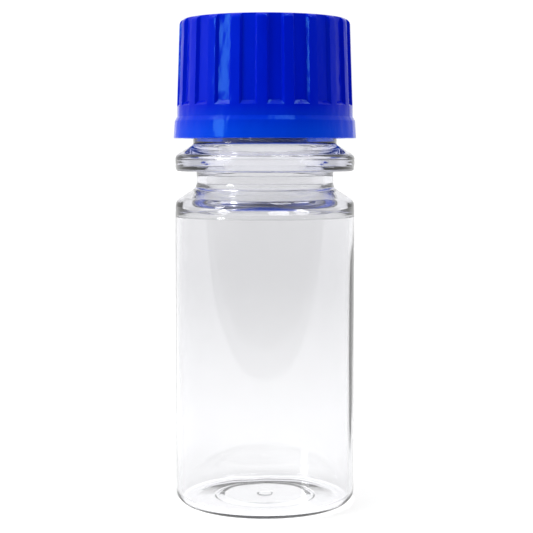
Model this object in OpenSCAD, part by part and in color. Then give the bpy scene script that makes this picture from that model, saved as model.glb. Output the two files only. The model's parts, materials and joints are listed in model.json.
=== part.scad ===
// Clear sample vial with a ribbed screw cap.
// Origin: centre of the circle that the vial stands on. +Z runs up the axis.
// All sizes are in millimetres.

/* [Body] */
// Outer diameter of the body and of the support ring
body_d = 25; // [24.6:0.2:27]
// Height of the straight side, where the shoulder begins
body_h = 41.4; // [25:0.2:60]
// Wall thickness of the straight side
body_wall = 0.7; // [0.5:0.1:1.2]
// Radius of the heel between the side and the base
heel_r = 1.5; // [1:0.1:2]
// Radius where the side turns into the shoulder
shoulder_r = 1.5; // [1:0.1:2]
// Slope of the shoulder, degrees above level
shoulder_slope = 31.5; // [28:0.5:36]

/* [Base] */
// Radius of the circle that the vial stands on, inner edge
stand_r = 9.9; // [9.2:0.1:10.4]
// Radius of the recess in the middle of the base
recess_r = 6.7; // [4:0.1:7.5]
// Depth of the recess below the rest of the base
recess_depth = 0.35; // [0.3:0.05:0.6]
// Thickness of the base
base_wall = 0.6; // [0.5:0.05:1]

/* [Neck] */
// Outer diameter of the neck between shoulder and support ring
neck_d = 19.1; // [18.6:0.1:19.6]
// Diameter of the bore through the neck
bore_d = 16.4; // [15:0.1:16.8]
// Straight length of the neck below the support ring
neck_len = 1.6; // [1:0.1:4]
// Height of the rim of the support ring below its sloped top
ring_rim_h = 1.65; // [1.2:0.05:2.2]
// Diameter of the plain land above the support ring
land_d = 20; // [19.8:0.1:20.2]

/* [Thread] */
// Diameter over the thread ridge of the neck
thread_d = 20.6; // [20.4:0.1:20.8]
// Diameter at the root of the neck thread
root_d = 18.8; // [18.4:0.1:19]
// Rise of the thread in one turn
pitch = 3.175; // [3:0.025:3.3]
// Turns of thread
thread_turns = 1.75; // [1:0.25:2]
// Clearance between the two threads, across the radius
thread_gap = 0.2; // [0.15:0.05:0.25]

/* [Cap] */
// Overall height of the cap
cap_h = 16.4; // [16:0.1:18]
// Diameter over the ribs at their foot
cap_d = 24.4; // [24.2:0.1:25]
// Diameter of the plain skirt at its lower edge
skirt_d = 25.4; // [25.2:0.1:26]
// Height of the plain skirt
skirt_h = 2.4; // [2:0.1:3]
// Number of grip pockets between the ribs
pockets = 21; // [12:1:21]
// Depth of a grip pocket
pocket_depth = 0.45; // [0.3:0.05:0.55]
// Thickness of the top of the cap
cap_top = 1.4; // [1.2:0.1:1.8]

/* [Liner] */
// Thickness of the sealing disc
liner_t = 1; // [0.8:0.1:1.2]

/* [Hidden] */
$fn = 96;
arc_steps = 8;              // straight steps in a profile arc

// Bottle, from the base up
body_r = body_d / 2;
neck_r = neck_d / 2;
bore_r = bore_d / 2;
land_r = land_d / 2;
root_r = root_d / 2;
thread_r = thread_d / 2;
neck_fillet = 1.2;
tilt = 90 - shoulder_slope; // turn of an arc from upright to the slope
arch_h = 0.12;              // rise of the base from its stand to its recess
recess_step = 1;            // run of the recess side
gate_r = 1.1;
gate_h = 0.25;

shoulder_z = body_h + shoulder_r * sin(tilt);
shoulder_edge_r = body_r - shoulder_r * (1 - cos(tilt));
fillet_edge_r = neck_r + neck_fillet * (1 - cos(tilt));
fillet_z = shoulder_z + (shoulder_edge_r - fillet_edge_r) * tan(shoulder_slope);
neck_z = fillet_z + neck_fillet * sin(tilt);
ring_z = neck_z + neck_len;
ring_corner_r = 0.35;       // lower edge of the support ring
ring_edge_r = 0.9;          // upper edge of the support ring
ring_draft = 0.1;           // the ring's rim leans in by this much at its lower edge
ring_draft_share = 0.7;     // share of the rim's height that leans
land_fillet = 0.5;
ring_top_z = ring_z + ring_rim_h;
ring_slope_r = body_r - ring_edge_r * (1 - cos(tilt));
ring_slope_z = ring_top_z + ring_edge_r * sin(tilt);
land_foot_r = land_r + land_fillet * (1 - cos(tilt));
land_foot_z = ring_slope_z + (ring_slope_r - land_foot_r) * tan(shoulder_slope);
land_z = land_foot_z + land_fillet * sin(tilt);

// Cap, from its lower edge up
cap_gap = 0.55;             // from the foot of the land to the cap
cap_z = land_z + cap_gap;
cap_end_z = cap_z + cap_h;
cap_r = cap_d / 2;
skirt_r = skirt_d / 2;
skirt_draft = 0.16;         // the skirt leans in by this much
skirt_step_h = 0.6;         // height of the sloped step above the skirt
cap_lean = 0.38;            // the ribs lean in by this much at the top
cap_edge_r = 0.85;          // rounded edge of the top
edge_z = cap_end_z - cap_edge_r;
pocket_foot_z = cap_z + 4.45;
pocket_slope_h = 0.55;      // height of the sloped lower end of a pocket
pocket_half = 5.5;          // half angle of a pocket at the surface
pocket_floor_half = 4.2;    // half angle of a pocket at its floor
pocket_phase = 0.39;        // turn of the first pocket, in pocket spacings
inner_r = thread_r + thread_gap;
relief_r = 11.3;            // inside of the skirt
relief_h = 2.3;
relief_end_h = 3.1;

// Rim, liner and the top of the cap lie on one another
seal_gap = 0.03;
ceiling_z = cap_end_z - cap_top;
liner_z = ceiling_z - seal_gap - liner_t;
liner_play = 0.15;
liner_r = inner_r - liner_play;
rim_z = liner_z - seal_gap;
rim_round = 0.35;
land_in_cap = 1.3;          // how far the land runs up inside the cap
land_end_z = cap_z + land_in_cap;
root_z = land_end_z + (land_r - root_r);

// Inside of the bottle
inner_body_r = body_r - body_wall;
floor_z = arch_h + base_wall;
floor_rise = recess_depth - 0.1; // the floor follows the recess, a little less steeply
floor_run_out = 0.4;        // the floor's step starts this far outside the recess
floor_run_in = 0.6;         // and ends this far inside it
floor_fillet = 0.9;
shoulder_wall = 1.2;        // the shoulder is thicker than the side
inner_shoulder_r = 2.2;
inner_slope_drop = shoulder_wall / cos(shoulder_slope);
function inner_slope_z(r) = shoulder_z + (shoulder_edge_r - r) * tan(shoulder_slope) - inner_slope_drop;
mouth_z = inner_slope_z(bore_r);
inner_arc_r = inner_body_r - inner_shoulder_r * (1 - cos(tilt));
hollow_depth = 1.5;         // the bore is wider inside the support ring by this much
hollow_z = ring_z - 0.5;    // lower end of the wider stretch
hollow_run = 2.2;           // height of its lower slope
hollow_h = 1.1;             // height of its upright side
hollow_top_run = 2.5;       // height of its upper slope
hollow_end_z = hollow_z + hollow_run + hollow_h + hollow_top_run;
inner_arc_z = inner_slope_z(inner_arc_r) - inner_shoulder_r * sin(tilt);

// Thread ridges: a slim trapezium that runs up a helix
ridge_foot = 1.7;           // width of a ridge at its foot
ridge_crest = 0.8;          // width of a ridge at its crest
ridge_sink = 0.15;          // how far a ridge is sunk in its wall
ridge_play = 0.1;           // flank clearance when the cap is tight
helix_step = 6;             // degrees between the sections of a ridge
lead_angle = 30;            // a ridge grows to its full height over this
thread_below_rim = 2.2;
neck_thread_z = rim_z - thread_below_rim - pitch * thread_turns;
cap_thread_z = neck_thread_z - (ridge_foot + ridge_crest - thread_gap) / 2 - ridge_play;

function arc(c, r, from, to) =
    [for (i = [0 : arc_steps]) let (a = from + (to - from) * i / arc_steps) c + r * [cos(a), sin(a)]];

// Outline of the bottle on its outside, from the axis of the base to the rim
bottle_outside = concat(
    [[0, arch_h + recess_depth]],
    [[recess_r - recess_step, arch_h + recess_depth]],
    [[recess_r, arch_h]],
    [[stand_r, 0]],
    arc([body_r - heel_r, heel_r], heel_r, -90, 0),
    arc([body_r - shoulder_r, body_h], shoulder_r, 0, tilt),
    arc([neck_r + neck_fillet, neck_z], neck_fillet, 180 + tilt, 180),
    [[neck_r, ring_z]],
    arc([body_r - ring_draft - ring_corner_r, ring_z + ring_corner_r], ring_corner_r, -90, 0),
    [[body_r, ring_z + ring_rim_h * ring_draft_share]],
    arc([body_r - ring_edge_r, ring_top_z], ring_edge_r, 0, tilt),
    arc([land_r + land_fillet, land_z], land_fillet, 180 + tilt, 180),
    [[land_r, land_end_z]],
    [[root_r, root_z]],
    arc([root_r - rim_round, rim_z - rim_round], rim_round, 0, 90)
);

// Outline of the inside, from the rim down to the axis of the floor
bottle_inside = concat(
    arc([bore_r + rim_round, rim_z - rim_round], rim_round, 90, 180),
    [[bore_r, hollow_end_z]],
    [[bore_r + hollow_depth, hollow_end_z - hollow_top_run]],
    [[bore_r + hollow_depth, hollow_z + hollow_run]],
    [[bore_r, hollow_z]],
    [[bore_r, mouth_z]],
    arc([inner_body_r - inner_shoulder_r, inner_arc_z], inner_shoulder_r, tilt, 0),
    arc([inner_body_r - floor_fillet, floor_z + floor_fillet], floor_fillet, 0, -90),
    [[recess_r + floor_run_out, floor_z]],
    [[recess_r - floor_run_in, floor_z + floor_rise]],
    [[0, floor_z + floor_rise]]
);

// A ridge on a helix. side is 1 where it stands outward and -1 inward.
// Each section has four corners, and the ridge dies away at both ends.
module helix_ridge(wall_r, height, side, start_z, turns) {
    count = floor(turns * 360 / helix_step);
    foot_r = wall_r - side * ridge_sink;
    points = [
        for (i = [0 : count])
            let (
                a = i * helix_step,
                left = count * helix_step - a,
                grow = min(1, a / lead_angle, left / lead_angle),
                z = start_z + pitch * a / 360,
                r = wall_r + side * (height * grow - ridge_sink * (1 - grow) / 2),
                foot = ridge_foot / 2 * (0.4 + 0.6 * grow),
                crest = ridge_crest / 2 * (0.4 + 0.6 * grow)
            )
            each [
                [foot_r * cos(a), foot_r * sin(a), z - foot],
                [r * cos(a), r * sin(a), z - crest],
                [r * cos(a), r * sin(a), z + crest],
                [foot_r * cos(a), foot_r * sin(a), z + foot]
            ]
    ];
    sides = [
        for (i = [0 : count - 1], k = [0 : 3])
            let (p = 4 * i + k, q = 4 * i + (k + 1) % 4)
            each [[p, q, p + 4], [q, q + 4, p + 4]]
    ];
    last = 4 * count;
    ends = [[2, 1, 0], [3, 2, 0], [last, last + 1, last + 2], [last, last + 2, last + 3]];
    faces = concat(sides, ends);
    polyhedron(points, side > 0 ? faces : [for (f = faces) [f[2], f[1], f[0]]]);
}

// Tool that cuts one grip pocket. Its four inner corners are the pocket's floor, and it
// spreads outward to the edges of the pocket and beyond. The pocket is open at the top.
module pocket_cutter() {
    function surface_r(z) = cap_r - cap_lean * (z - pocket_foot_z) / (edge_z - pocket_foot_z);
    function corner(r, half, z) = [r * sin(half), -r * cos(half), z];
    reach = 2;              // how far beyond the surface, in pocket depths
    spread = (pocket_half - pocket_floor_half) * reach;
    slope = pocket_slope_h * reach;
    floor_low = pocket_foot_z + pocket_slope_h;
    floor_high = cap_end_z + 1;
    outer_low = floor_low - slope;
    floor_low_r = surface_r(floor_low) - pocket_depth;
    floor_high_r = surface_r(floor_high) - pocket_depth;
    outer_low_r = floor_low_r + pocket_depth * reach;
    outer_high_r = floor_high_r + pocket_depth * reach;
    outer_half = pocket_floor_half + spread;
    polyhedron(
        [
            corner(floor_low_r, -pocket_floor_half, floor_low),
            corner(floor_low_r, pocket_floor_half, floor_low),
            corner(floor_high_r, pocket_floor_half, floor_high),
            corner(floor_high_r, -pocket_floor_half, floor_high),
            corner(outer_low_r, -outer_half, outer_low),
            corner(outer_low_r, outer_half, outer_low),
            corner(outer_high_r, outer_half, floor_high),
            corner(outer_high_r, -outer_half, floor_high)
        ],
        [
            [0, 1, 2], [0, 2, 3], [4, 6, 5], [4, 7, 6],
            [0, 5, 1], [0, 4, 5], [1, 6, 2], [1, 5, 6],
            [2, 7, 3], [2, 6, 7], [3, 4, 0], [3, 7, 4]
        ]
    );
}

module vial_body() {
    color([0.93, 0.94, 0.98, 0.45]) {
        rotate_extrude() polygon(concat(bottle_outside, bottle_inside));
        helix_ridge(root_r, thread_r - root_r, 1, neck_thread_z, thread_turns);
        translate([0, 0, arch_h + recess_depth - gate_h])
            cylinder(r = gate_r, h = gate_h + base_wall / 2);
    }
}

module cap_liner() {
    color([0.93, 0.93, 0.9])
        translate([0, 0, liner_z])
            cylinder(r = liner_r, h = liner_t);
}

module screw_cap() {
    skirt_top_z = cap_z + skirt_h;
    outside = concat(
        [[relief_r, cap_z]],
        [[skirt_r, cap_z]],
        [[skirt_r - skirt_draft, skirt_top_z]],
        [[cap_r, skirt_top_z + skirt_step_h]],
        [[cap_r, pocket_foot_z]],
        arc([cap_r - cap_lean - cap_edge_r, edge_z], cap_edge_r, 0, 90),
        [[0, cap_end_z]]
    );
    inside = [
        [0, ceiling_z],
        [inner_r, ceiling_z],
        [inner_r, cap_z + relief_end_h],
        [relief_r, cap_z + relief_h]
    ];
    color([0.01, 0.1, 0.76]) {
        difference() {
            rotate_extrude() polygon(concat(outside, inside));
            for (i = [0 : pockets - 1])
                rotate([0, 0, 360 / pockets * (i + pocket_phase)]) pocket_cutter();
        }
        helix_ridge(inner_r, inner_r - root_r - thread_gap, -1, cap_thread_z, thread_turns);
    }
}

vial_body();
cap_liner();
screw_cap();
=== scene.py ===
"""Looks of a clear sample vial with a ribbed blue screw cap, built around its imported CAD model.

Sizes are in millimetres, and MM turns them into Blender's metres. The vial stands on z = 0,
its axis is the Z axis, and the camera looks along +Y.
"""

import json
import math

import bmesh
import bpy
from mathutils import Matrix, Vector


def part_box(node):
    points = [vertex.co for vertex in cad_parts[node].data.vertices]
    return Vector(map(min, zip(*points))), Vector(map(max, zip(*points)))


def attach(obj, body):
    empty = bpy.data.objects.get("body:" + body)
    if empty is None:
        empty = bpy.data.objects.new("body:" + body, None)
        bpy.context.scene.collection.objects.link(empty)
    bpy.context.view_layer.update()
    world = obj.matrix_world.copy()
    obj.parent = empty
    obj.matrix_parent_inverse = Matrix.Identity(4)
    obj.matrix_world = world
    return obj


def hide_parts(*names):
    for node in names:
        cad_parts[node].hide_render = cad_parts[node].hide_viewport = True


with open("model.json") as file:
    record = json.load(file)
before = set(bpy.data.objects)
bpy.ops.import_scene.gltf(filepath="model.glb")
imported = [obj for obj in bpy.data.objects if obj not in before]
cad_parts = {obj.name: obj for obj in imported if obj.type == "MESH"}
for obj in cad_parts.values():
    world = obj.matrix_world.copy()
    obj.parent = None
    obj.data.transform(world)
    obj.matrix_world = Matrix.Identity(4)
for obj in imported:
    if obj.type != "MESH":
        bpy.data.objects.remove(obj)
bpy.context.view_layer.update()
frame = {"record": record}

MM = 0.001
FULL_TURN = 2 * math.pi

# --- Sizes taken from the CAD frame ---------------------------------------------------------
vial_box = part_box("vial_body")
cap_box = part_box("screw_cap")
liner_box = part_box("cap_liner")
mounts = {mount["name"]: mount for mount in frame["record"]["mounts"]}

body_r = vial_box[1].x / MM
rim_z = vial_box[1].z / MM
bore_r = mounts["mouth"]["dims"]["r_mm"]
cap_z = cap_box[0].z / MM
cap_end_z = cap_box[1].z / MM
skirt_r = cap_box[1].x / MM
liner_z = liner_box[0].z / MM
liner_end_z = liner_box[1].z / MM
liner_r = liner_box[1].x / MM

# --- Bottle ---------------------------------------------------------------------------------
body_h = 41.4               # height of the straight side
body_wall = 0.7
shoulder_wall = 1.2
slope = math.radians(31.5)  # of the shoulder and of the support ring's top
heel_round = 1.5
shoulder_round = 1.5
stand_r = 9.9
recess_r = 6.7
arch_h = 0.12               # rise of the base from its stand to its recess
recess_depth = 0.35         # the recess and the gate are under the base
recess_step = 1.0           # run of the recess side
base_wall = 0.6
gate_r = 1.1
gate_h = 0.25
neck_r = 9.55
neck_round = 1.2
neck_len = 1.6
ring_rim_h = 1.65
ring_edge_round = 0.9
land_r = 10.0
land_round = 0.5
root_r = 9.4
thread_r = 10.3
land_in_cap = 1.3           # how far the land runs up inside the cap
mould_line_z = 40.1
mould_line_h = 0.03
mould_line_w = 0.16
mould_line_round = 0.1
stand_round = 1.0
recess_round = 0.5
gate_slope = 0.15
ring_draft = 0.1            # the ring's rim leans in by this much at its lower edge
ring_draft_share = 0.7      # over this share of its height
rim_round = 0.35
mouth_round = 0.5           # where the bore opens into the body
inner_shoulder_round = 2.2
inner_heel_round = 0.9
floor_run_out = 0.4         # the floor's step starts this far outside the recess
floor_run_in = 0.6          # and ends this far inside it
floor_soften = 0.1          # the floor rises this much less than the recess
floor_round = 0.6
wave_h = 0.025              # how much the blown wall's thickness varies
wave_from_r = bore_r + 2.0  # only the body's wall is wavy
wave_start_z = 3.0
wave_start_run = 6.0
wave_end_z = body_h - 2.0
wave_end_run = 8.0
hollow_depth = 1.5          # the bore is wider inside the support ring by this much
hollow_below_ring = 0.5
hollow_run = 2.2            # height of its lower slope
hollow_h = 1.1
hollow_top_run = 2.5        # height of its upper slope
hollow_round = 0.8

# --- Thread ---------------------------------------------------------------------------------
pitch = 3.175
thread_turns = 1.75
thread_below_rim = 2.2
thread_gap = 0.2
ridge_foot = 1.7
ridge_crest = 0.8
ridge_play = 0.1
ridge_lead = 30 / 360       # turns over which a ridge grows to its full height
ridge_start_share = 0.4     # of its full width, where it starts
neck_thread_z = rim_z - thread_below_rim - pitch * thread_turns
cap_thread_z = neck_thread_z - (ridge_foot + ridge_crest - thread_gap) / 2 - ridge_play

# --- Cap ------------------------------------------------------------------------------------
cap_r = 12.2                # over the ribs, at their foot
cap_lean = 0.38             # the ribs lean in by this much at the top
cap_edge_round = 0.85
cap_top = 1.4               # thickness of the top
skirt_h = 2.4
skirt_draft = 0.16
skirt_step_h = 0.6
relief_r = 11.3
relief_h = 2.3
relief_end_h = 3.1
inner_r = thread_r + thread_gap
edge_z = cap_end_z - cap_edge_round
pockets = 21
pocket_phase = 0.39         # of a pocket's share of the turn, counted from the front
pocket_depth = 0.45
pocket_foot_z = cap_z + 4.45
pocket_slope_h = 0.55
pocket_half = math.radians(5.5)
pocket_floor_half = math.radians(4.2)
pocket_round = 0.1
dimple_r = 1.6              # the gate dimple in the top
dimple_depth = 0.2
dimple_slope = 0.2

# --- Liner ----------------------------------------------------------------------------------
seat_h = 0.05               # how far the rim has pressed in
seat_gap = 0.1
seat_slope = 0.15

# --- Looks that change with height ----------------------------------------------------------
painted_light_end_z = 10.0          # painted light makes the bottle lighter up to here
painted_light_gone_z = 32.0         # and it is gone from here up
skirt_painted_light_end_z = cap_z + skirt_h - 1.5      # painted light makes the cap lightest up to here
skirt_painted_light_gone_z = cap_z + skirt_h + 2.0   # and it is gone from here up, leaving the cap's full colour
painted_glow_deep = 0.05           # painted glow: emission standing in for light through the cap's wall, seen deep inside it
painted_glow_in_skirt = 0.8             # and the painted glow inside its skirt
glow_start_z = cap_z + 3.5
glow_step = 0.7
glow_deep_z = cap_z + 6.0
glow_top_z = cap_end_z - 1.2
glow_top_end_z = cap_end_z - 0.9
glow_r = relief_r + 0.03
glow_end_r = relief_r + 0.3

# --- Fineness of the meshes -----------------------------------------------------------------
arc_guard = 0.03            # how far beyond an arc its end is repeated
dome_steps = 12             # steps in the rounding of the cap's top edge
bottle_step = 1.5           # the longest step along the bottle's outline
neck_thread_step = 0.12
cap_step = 1.6
cap_thread_step = 0.14
bottle_columns = 240
liner_columns = 144


# --- Outlines -------------------------------------------------------------------------------
def rounded(corners, steps=10):
    """The outline through corners (r, z, rounding radius), with an arc at each rounded one.

    A point close to each end of an arc keeps the straight stretch beside it evenly shaded.
    """
    points = []
    for i, (r, z, radius) in enumerate(corners):
        corner = Vector((r, z))
        if radius == 0:
            points.append(corner)
            continue
        back = (Vector(corners[i - 1][:2]) - corner).normalized()
        ahead = (Vector(corners[i + 1][:2]) - corner).normalized()
        half = back.angle(ahead) / 2
        centre = corner + (back + ahead).normalized() * radius / math.sin(half)
        start = corner + back * radius / math.tan(half) - centre
        end = corner + ahead * radius / math.tan(half) - centre
        turn = start.angle(end)
        points.append(centre + start + back * arc_guard)
        for k in range(steps + 1):
            passed = turn * k / steps
            spoke = start * math.sin(turn - passed) + end * math.sin(passed)
            points.append(centre + spoke / math.sin(turn))
        points.append(centre + end + ahead * arc_guard)
    return points


def filled(points, longest):
    """The same outline with more points, where longest(r, z) gives the longest step at a place."""
    dense = [points[0]]
    for start, end in zip(points, points[1:]):
        middle = (start + end) / 2
        parts = max(1, math.ceil((end - start).length / longest(*middle)))
        dense += [start.lerp(end, k / parts) for k in range(1, parts + 1)]
    return dense


def turned(columns):
    """Even angles all round."""
    return [FULL_TURN * k / columns for k in range(columns)]


def smooth(share):
    """A share from 0 to 1 that starts and ends gently."""
    share = min(1.0, max(0.0, share))
    return share * share * (3 - 2 * share)


def ridge(angle, z, start_z):
    """How high a thread ridge stands at a place on its wall, from 0 to 1."""
    height = 0.0
    for whole in range(math.ceil(thread_turns)):
        along = whole + (angle % FULL_TURN) / FULL_TURN
        if along > thread_turns:
            continue
        grow = smooth(min(along, thread_turns - along) / ridge_lead)
        shrink = ridge_start_share + (1 - ridge_start_share) * grow
        off = abs(z - start_z - pitch * along)
        flank = (ridge_foot / 2 * shrink - off) / ((ridge_foot - ridge_crest) / 2 * shrink)
        height = max(height, grow * smooth(flank))
    return height


# --- Meshes ---------------------------------------------------------------------------------
def new_piece(name, bm, body, node, material):
    """Turns a bmesh in millimetres into a smooth piece that stands for a CAD node."""
    bmesh.ops.recalc_face_normals(bm, faces=bm.faces)
    mesh = bpy.data.meshes.new(name)
    bm.to_mesh(mesh)
    bm.free()
    mesh.transform(Matrix.Scale(MM, 4))
    mesh.shade_smooth()
    piece = bpy.data.objects.new(name, mesh)
    bpy.context.scene.collection.objects.link(piece)
    mesh.materials.append(material)
    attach(piece, body)
    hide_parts(node)
    return piece


def unmoved(r, z, angle, row):
    """The place of an outline's point on a plain turned surface."""
    return r, z


def uncut(column, row):
    """No quad of a plain turned surface is cut."""
    return 0


def lathe(outline, angles, place=unmoved, split=uncut):
    """A closed surface round the Z axis. Its outline starts and ends on the axis.

    place moves a point of the outline at an angle. split says how a quad is cut into triangles:
    1 from its first corner to its third, -1 from its second to its fourth, and 0 not at all.
    """
    bm = bmesh.new()
    rings = []
    for row, (r, z) in enumerate(outline):
        if row in (0, len(outline) - 1):
            rings.append([bm.verts.new((0, 0, z))] * len(angles))
            continue
        ring = []
        for angle in angles:
            placed_r, placed_z = place(r, z, angle, row)
            x = placed_r * math.cos(angle)
            y = placed_r * math.sin(angle)
            ring.append(bm.verts.new((x, y, placed_z)))
        rings.append(ring)
    for row, (low, high) in enumerate(zip(rings, rings[1:])):
        for column in range(len(angles)):
            after = (column + 1) % len(angles)
            corners = [low[column], low[after], high[after], high[column]]
            distinct = list(dict.fromkeys(corners))
            cut = split(column, row)
            if cut == 0 or len(distinct) < 4:
                bm.faces.new(distinct)
            elif cut > 0:
                bm.faces.new([corners[0], corners[1], corners[2]])
                bm.faces.new([corners[0], corners[2], corners[3]])
            else:
                bm.faces.new([corners[0], corners[1], corners[3]])
                bm.faces.new([corners[1], corners[2], corners[3]])
    return bm


def vial_bmesh():
    """The bottle: its outside from the base up to the rim, and its inside down to the floor."""
    rise = math.tan(slope)
    tangent = math.tan(math.pi / 4 - slope / 2)     # of half the turn from upright to the slope
    shoulder_z = body_h + shoulder_round * tangent
    neck_foot_z = shoulder_z + (body_r - neck_r) * rise
    ring_z = neck_foot_z + neck_round * tangent + neck_len
    ring_top_z = ring_z + ring_rim_h + ring_edge_round * tangent
    land_foot_z = ring_top_z + (body_r - land_r) * rise
    land_end_z = cap_z + land_in_cap
    root_z = land_end_z + land_r - root_r
    recess_z = arch_h + recess_depth
    gate_z = recess_z - gate_h
    outside = [
        (0, gate_z, 0),
        (gate_r - gate_slope, gate_z, 0.12),
        (gate_r, recess_z, 0.08),
        (recess_r - recess_step, recess_z, recess_round),
        (recess_r, arch_h, recess_round),
        (stand_r, 0, stand_round),
        (body_r, 0, heel_round),
        (body_r, mould_line_z - mould_line_w / 2, mould_line_round),
        (body_r + mould_line_h, mould_line_z, mould_line_round),
        (body_r, mould_line_z + mould_line_w / 2, mould_line_round),
        (body_r, shoulder_z, shoulder_round),
        (neck_r, neck_foot_z, neck_round),
        (neck_r, ring_z, 0.15),
        (body_r - ring_draft, ring_z, 0.35),
        (body_r, ring_z + ring_rim_h * ring_draft_share, 0.4),
        (body_r, ring_top_z, ring_edge_round),
        (land_r, land_foot_z, land_round),
        (land_r, land_end_z, 0.15),
        (root_r, root_z, 0.2),
        (root_r, rim_z, rim_round),
    ]
    inner_r_at_body = body_r - body_wall
    inner_slope_drop = shoulder_wall / math.cos(slope)
    floor_z = arch_h + base_wall
    floor_end_z = floor_z + recess_depth - floor_soften

    def inner_slope_z(r):
        """The height of the shoulder's inner side at a radius."""
        return shoulder_z + (body_r - r) * rise - inner_slope_drop

    hollow_z = ring_z - hollow_below_ring
    hollow_side_z = hollow_z + hollow_run
    hollow_slope_z = hollow_side_z + hollow_h
    inside = [
        (bore_r, rim_z, rim_round),
        (bore_r, hollow_slope_z + hollow_top_run, 1.5),
        (bore_r + hollow_depth, hollow_slope_z, hollow_round),
        (bore_r + hollow_depth, hollow_side_z, hollow_round),
        (bore_r, hollow_z, 1.0),
        (bore_r, inner_slope_z(bore_r), mouth_round),
        (inner_r_at_body, inner_slope_z(inner_r_at_body), inner_shoulder_round),
        (inner_r_at_body, floor_z, inner_heel_round),
        (recess_r + floor_run_out, floor_z, floor_round),
        (recess_r - floor_run_in, floor_end_z, floor_round),
        (0, floor_end_z, 0),
    ]

    def longest(r, z):
        """Short steps up the threaded outside, and long ones elsewhere."""
        if z > root_z and r > root_r - 0.1:
            return neck_thread_step
        return bottle_step

    outline = filled(rounded(outside + inside), longest)
    outline[-1].x = 0
    rim_row = max(range(len(outline)), key=lambda row: outline[row].y)

    def place(r, z, angle, row):
        """Raises the thread outside, and waves the blown wall inside."""
        if row < rim_row and z > root_z:
            return r + (thread_r - root_r) * ridge(angle, z, neck_thread_z), z
        if row > rim_row and r > wave_from_r:
            level = smooth((z - wave_start_z) / wave_start_run) * smooth((wave_end_z - z) / wave_end_run)
            broad = math.sin(3 * angle + 0.9)
            middling = 0.6 * math.sin(7 * angle + z / 19)
            fine = 0.35 * math.sin(17 * angle - z / 23)
            return r - wave_h * level * (broad + middling + fine), z
        return r, z

    return lathe(outline, turned(bottle_columns), place)


def liner_bmesh():
    """The sealing disc, pressed in a little where the rim of the neck meets it."""
    outline = rounded([
        (0, liner_z, 0),
        (bore_r + seat_gap, liner_z, 0.3),
        (bore_r + seat_gap + seat_slope, liner_z + seat_h, 0.2),
        (root_r - seat_slope, liner_z + seat_h, 0.2),
        (root_r, liner_z, 0.3),
        (liner_r, liner_z, 0.2),
        (liner_r, liner_end_z, 0.2),
        (0, liner_end_z, 0),
    ])
    return lathe(outline, turned(liner_columns))


def cap_bmesh():
    """The cap, from its ceiling down the threaded inside, and up the ribbed outside."""
    ceiling_z = cap_end_z - cap_top
    skirt_top_z = cap_z + skirt_h
    inside = [
        (0, ceiling_z, 0),
        (inner_r, ceiling_z, 0.4),
        (inner_r, cap_z + relief_end_h, 0.3),
        (relief_r, cap_z + relief_h, 0.3),
        (relief_r, cap_z, 0.2),
    ]
    outside = [
        (skirt_r, cap_z, 0.15),
        (skirt_r - skirt_draft, skirt_top_z, 0.15),
        (cap_r, skirt_top_z + skirt_step_h, 0.2),
        (cap_r, pocket_foot_z, 0),
    ]
    lean = cap_lean / (edge_z - pocket_foot_z)

    def surface_r(z):
        """The radius over the ribs at a height."""
        return cap_r - lean * (z - pocket_foot_z)

    def floor_r(z):
        """The radius of a pocket's floor at a height."""
        return surface_r(z) - pocket_depth

    floor_foot_z = pocket_foot_z + pocket_slope_h
    floor_foot = (surface_r(floor_foot_z), floor_foot_z, 0)
    top = [
        (surface_r(cap_end_z), cap_end_z, cap_edge_round),
        (dimple_r, cap_end_z, 0.15),
        (dimple_r - dimple_slope, cap_end_z - dimple_depth, 0.1),
        (0, cap_end_z - dimple_depth, 0),
    ]

    def longest(r, z):
        """Short steps up the threaded inside, and long ones elsewhere."""
        if r < inner_r + 0.1 and cap_z + relief_end_h < z < ceiling_z:
            return cap_thread_step
        return cap_step

    outline = filled(rounded(inside + outside + [floor_foot]), longest)
    outline += filled(rounded([floor_foot, *top], dome_steps), longest)[1:]
    foot = Vector(outside[-1][:2])
    foot_row = min(range(len(outline)), key=lambda row: (outline[row] - foot).length)

    def is_floor(row):
        """Whether a row of the outline sinks to the pockets' floor."""
        return row > foot_row and outline[row].x > floor_r(outline[row].y)

    share = FULL_TURN / pockets
    across = [-pocket_half, -pocket_floor_half, 0, pocket_floor_half, pocket_half]
    rib = (share - 2 * pocket_half) / 3
    across += [pocket_half + rib, pocket_half + 2 * rib]
    angles = [
        -FULL_TURN / 4 + share * (i + pocket_phase) + a
        for i in range(pockets)
        for a in across
    ]
    in_pocket = [-pocket_half < a < pocket_half for a in across] * pockets
    column_of = {round(angle, 9): column for column, angle in enumerate(angles)}

    def place(r, z, angle, row):
        """Sinks the pockets outside, and raises the thread inside."""
        column = column_of[round(angle, 9)]
        if is_floor(row) and in_pocket[column]:
            off = across[column % len(across)]
            return floor_r(z) * math.cos(pocket_floor_half) / math.cos(off), z
        if row < foot_row and r > root_r and cap_z + relief_end_h < z < ceiling_z:
            return r - (inner_r - root_r - thread_gap) * ridge(angle, z, cap_thread_z), z
        return r, z

    def split(column, row):
        """Cuts the quads where a pocket's end slope meets its sides."""
        low, high = is_floor(row), is_floor(row + 1)
        if low == high:
            return 0
        here, after = in_pocket[column], in_pocket[(column + 1) % len(angles)]
        if here == after:
            return 0
        return 1 if after == high else -1

    return lathe(outline, angles, place, split)


# --- Materials ------------------------------------------------------------------------------
def new_material(name):
    """A material with an empty Principled shader, as (material, its nodes, its links, the shader)."""
    material = bpy.data.materials.new(name)
    material.use_nodes = True
    nodes, links = material.node_tree.nodes, material.node_tree.links
    return material, nodes, links, nodes["Principled BSDF"]


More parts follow.
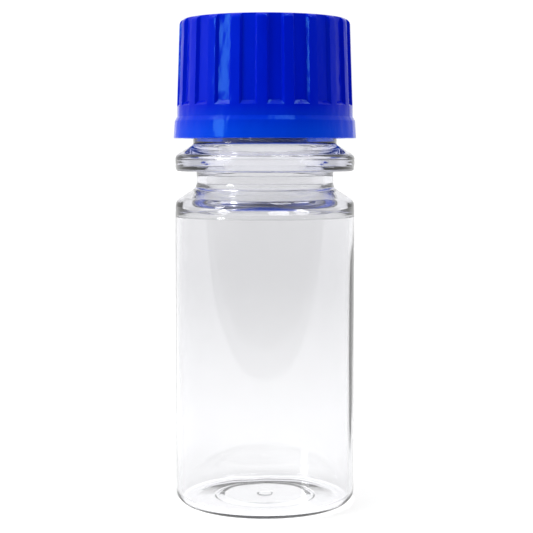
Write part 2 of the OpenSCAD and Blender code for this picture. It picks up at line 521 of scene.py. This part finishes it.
def noise(nodes, links, scale, detail=3.0, stretch=(1, 1, 1)):
    """A noise texture in object space, scale counted per metre."""
    place = nodes.new("ShaderNodeTexCoord")
    mapping = nodes.new("ShaderNodeMapping")
    mapping.inputs["Scale"].default_value = stretch
    texture = nodes.new("ShaderNodeTexNoise")
    texture.inputs["Scale"].default_value = scale
    texture.inputs["Detail"].default_value = detail
    links.new(place.outputs["Object"], mapping.inputs["Vector"])
    links.new(mapping.outputs["Vector"], texture.inputs["Vector"])
    return texture.outputs["Fac"]


def remap(nodes, links, value, low, high, from_low=0.0, from_high=1.0):
    """value, spread from from_low..from_high to low..high."""
    node = nodes.new("ShaderNodeMapRange")
    node.inputs["From Min"].default_value = from_low
    node.inputs["From Max"].default_value = from_high
    node.inputs["To Min"].default_value = low
    node.inputs["To Max"].default_value = high
    links.new(value, node.inputs["Value"])
    return node.outputs["Result"]


def combined(nodes, links, a, b, operation):
    """Two values put together by an operation, such as ADD."""
    node = nodes.new("ShaderNodeMath")
    node.operation = operation
    links.new(a, node.inputs[0])
    links.new(b, node.inputs[1])
    return node.outputs["Value"]


def object_place(nodes, links):
    """Object coordinates, as (the vector, its X, Y and Z)."""
    place = nodes.new("ShaderNodeTexCoord").outputs["Object"]
    apart = nodes.new("ShaderNodeSeparateXYZ")
    links.new(place, apart.inputs["Vector"])
    return place, apart.outputs


def length(nodes, links, vector):
    """The length of a vector."""
    node = nodes.new("ShaderNodeVectorMath")
    node.operation = "LENGTH"
    links.new(vector, node.inputs[0])
    return node.outputs["Value"]


def colour_mix(nodes, links, first, second, factor):
    """The first colour where factor is 0 and the second where it is 1."""
    mix = nodes.new("ShaderNodeMix")
    mix.data_type = "RGBA"
    for socket, colour in (("A", first), ("B", second)):
        if isinstance(colour, tuple):
            mix.inputs[socket].default_value = (*colour, 1)
        else:
            links.new(colour, mix.inputs[socket])
    links.new(factor, mix.inputs["Factor"])
    return mix.outputs["Result"]


def bump(nodes, links, height, distance, shader):
    """Raises a shader's surface by height times distance, in metres."""
    node = nodes.new("ShaderNodeBump")
    node.inputs["Strength"].default_value = 1.0
    node.inputs["Distance"].default_value = distance
    links.new(height, node.inputs["Height"])
    links.new(node.outputs["Normal"], shader.inputs["Normal"])


def clear_plastic():
    """Clear PET: smooth, a little uneven, lighter low on the body by painted light, and lavender where
    it is thick.
    """
    material, nodes, links, shader = new_material("clear_plastic")
    place, apart = object_place(nodes, links)
    # Painted light: the base colour is lighter low on the body and darker above, standing in for how the
    # studio light falls off up the body.
    painted_light_fade = remap(nodes, links, apart["Z"], 0.0, 1.0, painted_light_end_z * MM, painted_light_gone_z * MM)
    tint_with_painted_light = colour_mix(nodes, links, (0.92, 0.92, 0.92), (0.83, 0.83, 0.835), painted_light_fade)
    links.new(tint_with_painted_light, shader.inputs["Base Color"])
    shader.inputs["Transmission Weight"].default_value = 1.0
    shader.inputs["IOR"].default_value = 1.575
    scuffs = noise(nodes, links, 900, 4.0, (1, 1, 0.3))
    links.new(remap(nodes, links, scuffs, 0.0, 0.09, 0.5, 0.8), shader.inputs["Roughness"])
    bump(nodes, links, noise(nodes, links, 160, 1.5, (1, 1, 0.35)), 0.00003, shader)
    absorb = nodes.new("ShaderNodeVolumeAbsorption")
    absorb.inputs["Color"].default_value = (0.50, 0.53, 0.87, 1)
    absorb.inputs["Density"].default_value = 36.0
    links.new(absorb.outputs["Volume"], nodes["Material Output"].inputs["Volume"])
    return material


def painted_glow_in_cap(nodes, links, place, height):
    """How strongly the cap's inside has a painted glow, an emission standing in for light through its
    wall: most in its skirt, less deeper in, and not outside.

    A place is inside when it is near enough to the axis. Above the skirt it has to be nearer,
    and in the top no place is near enough.
    """
    level = nodes.new("ShaderNodeVectorMath")
    level.operation = "MULTIPLY"
    level.inputs[1].default_value = (1, 1, 0)
    links.new(place, level.inputs[0])
    off_axis = length(nodes, links, level.outputs["Vector"])
    step_end_z = glow_start_z + glow_step
    above = remap(nodes, links, height, 0.0, glow_step * MM, glow_start_z * MM, step_end_z * MM)
    top = remap(nodes, links, height, 0.0, skirt_r * MM, glow_top_z * MM, glow_top_end_z * MM)
    distance = combined(nodes, links, combined(nodes, links, off_axis, above, "ADD"), top, "ADD")
    inside = remap(nodes, links, distance, 1.0, 0.0, glow_r * MM, glow_end_r * MM)
    depth = remap(nodes, links, height, painted_glow_in_skirt, painted_glow_deep, glow_start_z * MM, glow_deep_z * MM)
    return combined(nodes, links, inside, depth, "MULTIPLY")


def blue_plastic():
    """Glossy moulded polypropylene with faint flow marks and a fine grain, a skirt made lighter by
    painted light, and a painted blue glow on its inside.
    """
    material, nodes, links, shader = new_material("blue_plastic")
    place, apart = object_place(nodes, links)
    flow = noise(nodes, links, 120, 3.0, (1, 1, 0.25))
    marks = remap(nodes, links, flow, 0, 1, 0.35, 0.65)
    blue = colour_mix(nodes, links, (0.0002, 0.006, 0.50), (0.0003, 0.010, 0.58), marks)
    # Painted light: the skirt's colour is lighter and more azure, standing in for light from below that
    # shines through its thin wall.
    skirt_painted_light = remap(nodes, links, apart["Z"], 1.0, 0.0, skirt_painted_light_end_z * MM, skirt_painted_light_gone_z * MM)
    blue = colour_mix(nodes, links, blue, (0.0004, 0.045, 0.66), skirt_painted_light)
    links.new(blue, shader.inputs["Base Color"])
    grain = noise(nodes, links, 6000, 3.0)
    links.new(remap(nodes, links, grain, 0.08, 0.14, 0.3, 0.7), shader.inputs["Roughness"])
    shader.inputs["IOR"].default_value = 1.49
    shader.inputs["Specular IOR Level"].default_value = 0.15
    shader.inputs["Specular Tint"].default_value = (0.08, 0.6, 1.0, 1)
    bump(nodes, links, noise(nodes, links, 240, 3.0, (1, 1, 0.5)), 0.0003, shader)
    # Painted glow: the cap's inside emits blue light, standing in for light that shines through the
    # plastic.
    links.new(painted_glow_in_cap(nodes, links, place, apart["Z"]), shader.inputs["Emission Strength"])
    shader.inputs["Emission Color"].default_value = (0.03, 0.1, 0.6, 1)
    return material


def liner_foam():
    """Matte off-white foam with fine closed cells."""
    material, nodes, links, shader = new_material("liner_foam")
    cells = nodes.new("ShaderNodeTexVoronoi")
    cells.inputs["Scale"].default_value = 3500
    place, apart = object_place(nodes, links)
    links.new(place, cells.inputs["Vector"])
    shade = cells.outputs["Distance"]
    foam = colour_mix(nodes, links, (0.78, 0.77, 0.72), (0.86, 0.86, 0.83), shade)
    links.new(foam, shader.inputs["Base Color"])
    shader.inputs["Roughness"].default_value = 0.8
    bump(nodes, links, shade, 0.00003, shader)
    return material


# --- Camera ---------------------------------------------------------------------------------
def make_camera():
    """Nearly level with the support ring, and close, as in a product picture."""
    distance = 195.0
    height = 49.45
    aside = 0.22
    pitch_down = math.radians(3.7)
    data = bpy.data.cameras.new("camera")
    data.sensor_width = 36
    data.lens = 94.3
    data.shift_y = -0.052
    data.clip_start = 0.01
    data.clip_end = 50
    camera = bpy.data.objects.new("camera", data)
    camera.location = (aside * MM, -distance * MM, height * MM)
    camera.rotation_euler = (math.pi / 2 - pitch_down, 0, 0)
    bpy.context.scene.collection.objects.link(camera)
    bpy.context.scene.camera = camera


# --- Stage and light ------------------------------------------------------------------------
room_back = 1.04
room_front = 0.45
room_top = 1.1
light_target = Vector((0, 0, 0.04))
floor_pale = (0.50, 0.50, 0.50)
floor_grey = (0.30, 0.30, 0.30)
floor_radius = 12.0         # this and the other sizes and places of the stage are in metres
floor_drop = 0.00002        # the floor lies this much below the vial
floor_painted_light_under = 0.6      # painted light: a pool of glow under the clear base, standing in for the light it gathers there
floor_painted_light_near = 0.05      # painted light added close round the vial, which fills its shadow
floor_glow_middle = 0.48
floor_glow_far = 0.72
floor_glow_front = 0.20
floor_under = (0.0120, 0.0127)          # distances over which the glows change
floor_near = (0.012, 0.22)
floor_far = (0.3, 1.0)
floor_front_y = (-0.118, -0.130)        # where the floor turns greyer in front

# Greyer parts of the room, as (direction, share of the light left, and the cosines of the angles
# off that direction where the grey starts and is full). They are above the camera's right, on the
# right, and behind on the left.
dim_parts = [
    ((0.35, -0.8, 0.5), 0.12, 0.72, 0.88),
    ((0.96, 0.13, 0.26), 0.7, 0.55, 0.70),
    ((-0.74, 0.62, 0.26), 0.7, 0.85, 0.92),
]


def make_floor():
    """A round pale floor that glows a little, with painted light under the vial and close round it. It
    is greyer far in front, out of the picture.
    """
    bm = bmesh.new()
    bmesh.ops.create_circle(bm, cap_ends=True, radius=floor_radius, segments=96)
    mesh = bpy.data.meshes.new("floor")
    bm.to_mesh(mesh)
    bm.free()
    material, nodes, links, shader = new_material("floor")
    place, apart = object_place(nodes, links)
    front = remap(nodes, links, apart["Y"], 0.0, 1.0, *floor_front_y)
    links.new(colour_mix(nodes, links, floor_pale, floor_grey, front), shader.inputs["Base Color"])
    shader.inputs["Roughness"].default_value = 0.9
    shader.inputs["Specular IOR Level"].default_value = 0.1
    shader.inputs["Emission Color"].default_value = (1.0, 1.0, 1.0, 1)
    distance = length(nodes, links, place)
    glow = remap(nodes, links, distance, floor_glow_middle, floor_glow_far, *floor_far)
    # Painted light: extra glow close round the vial and under its base fills the vial's shadow and
    # stands in for light through the clear base.
    near = remap(nodes, links, distance, floor_painted_light_near, 0.0, *floor_near)
    glow = combined(nodes, links, glow, near, "ADD")
    under = remap(nodes, links, distance, floor_painted_light_under, 0.0, *floor_under)
    glow = combined(nodes, links, glow, under, "ADD")
    fade = nodes.new("ShaderNodeMix")
    fade.inputs["B"].default_value = floor_glow_front
    links.new(front, fade.inputs["Factor"])
    links.new(glow, fade.inputs["A"])
    links.new(fade.outputs["Result"], shader.inputs["Emission Strength"])
    mesh.materials.append(material)
    floor = bpy.data.objects.new("floor", mesh)
    floor.location.z = -floor_drop
    bpy.context.scene.collection.objects.link(floor)


def make_world():
    """A pale room: bright behind the vial and overhead, dimmer on the camera's side."""
    world = bpy.data.worlds.new("room")
    bpy.context.scene.world = world
    world.use_nodes = True
    nodes, links = world.node_tree.nodes, world.node_tree.links
    place = nodes.new("ShaderNodeTexCoord")

    def towards(direction, low, high, from_low, from_high):
        """low away from a direction and high towards it, with a soft change between."""
        dot = nodes.new("ShaderNodeVectorMath")
        dot.operation = "DOT_PRODUCT"
        dot.inputs[1].default_value = Vector(direction).normalized()
        links.new(place.outputs["Generated"], dot.inputs[0])
        value = remap(nodes, links, dot.outputs["Value"], low, high, from_low, from_high)
        value.node.interpolation_type = "SMOOTHSTEP"
        return value

    front = towards((0.35, -1.0, 0.0), 1.0, room_front, 0.1, 0.8)
    overhead = towards((0.0, 0.0, 1.0), room_back, room_top, 0.1, 0.9)
    room = combined(nodes, links, front, overhead, "MULTIPLY")
    for direction, share, start, full in dim_parts:
        dim = towards(direction, 1.0, share, start, full)
        room = combined(nodes, links, room, dim, "MULTIPLY")
    links.new(room, nodes["Background"].inputs["Strength"])
    nodes["Background"].inputs["Color"].default_value = (1.0, 1.0, 1.0, 1)


def make_light(name, azimuth, elevation, distance, size, power):
    """A soft box that faces the vial. Azimuth 0 is the camera's side and 90 is to the right.

    distance and size are in metres.
    """
    azimuth = math.radians(azimuth)
    elevation = math.radians(elevation)
    level = math.cos(elevation)
    away = Vector((math.sin(azimuth) * level, -math.cos(azimuth) * level, math.sin(elevation)))
    data = bpy.data.lights.new(name, "AREA")
    data.shape = "RECTANGLE"
    data.size, data.size_y = size
    data.energy = power
    light = bpy.data.objects.new(name, data)
    light.location = light_target + away * distance
    light.rotation_euler = (-away).to_track_quat("-Z", "Y").to_euler()
    light.visible_camera = False
    bpy.context.scene.collection.objects.link(light)


def make_lights():
    """Soft boxes to the left, small ones that light the cap's ends and steps, and one on top."""
    make_light("left_box", azimuth=-60, elevation=15, distance=0.8, size=(0.16, 0.26), power=1.7)
    make_light("left_fill", azimuth=-80, elevation=35, distance=0.8, size=(0.3, 0.3), power=0.3)
    make_light("front_spot", azimuth=35, elevation=64, distance=0.9, size=(0.3, 0.3), power=2.0)
    make_light("right_spot", azimuth=85, elevation=60, distance=0.9, size=(0.2, 0.2), power=0.8)
    make_light("left_spot", azimuth=-87, elevation=54, distance=0.9, size=(0.3, 0.25), power=1.5)
    make_light("top_box", azimuth=0, elevation=88, distance=0.9, size=(0.6, 0.6), power=0.7)


def soften_cap(cap):
    """Rounds the pockets' edges a little, and keeps the faces beside them evenly shaded."""
    bevel = cap.modifiers.new("soft_edges", "BEVEL")
    bevel.limit_method = "ANGLE"
    bevel.angle_limit = math.radians(30)
    bevel.width = pocket_round * MM
    bevel.segments = 3
    normals = cap.modifiers.new("even_shading", "WEIGHTED_NORMAL")
    normals.keep_sharp = True


# --- Build ----------------------------------------------------------------------------------
bpy.context.scene.view_settings.view_transform = "Standard"
make_camera()
new_piece("clear_vial", vial_bmesh(), "vial", "vial_body", clear_plastic())
ribbed_cap = new_piece("ribbed_cap", cap_bmesh(), "cap", "screw_cap", blue_plastic())
new_piece("foam_liner", liner_bmesh(), "liner", "cap_liner", liner_foam())
soften_cap(ribbed_cap)
make_floor()
make_world()
make_lights()
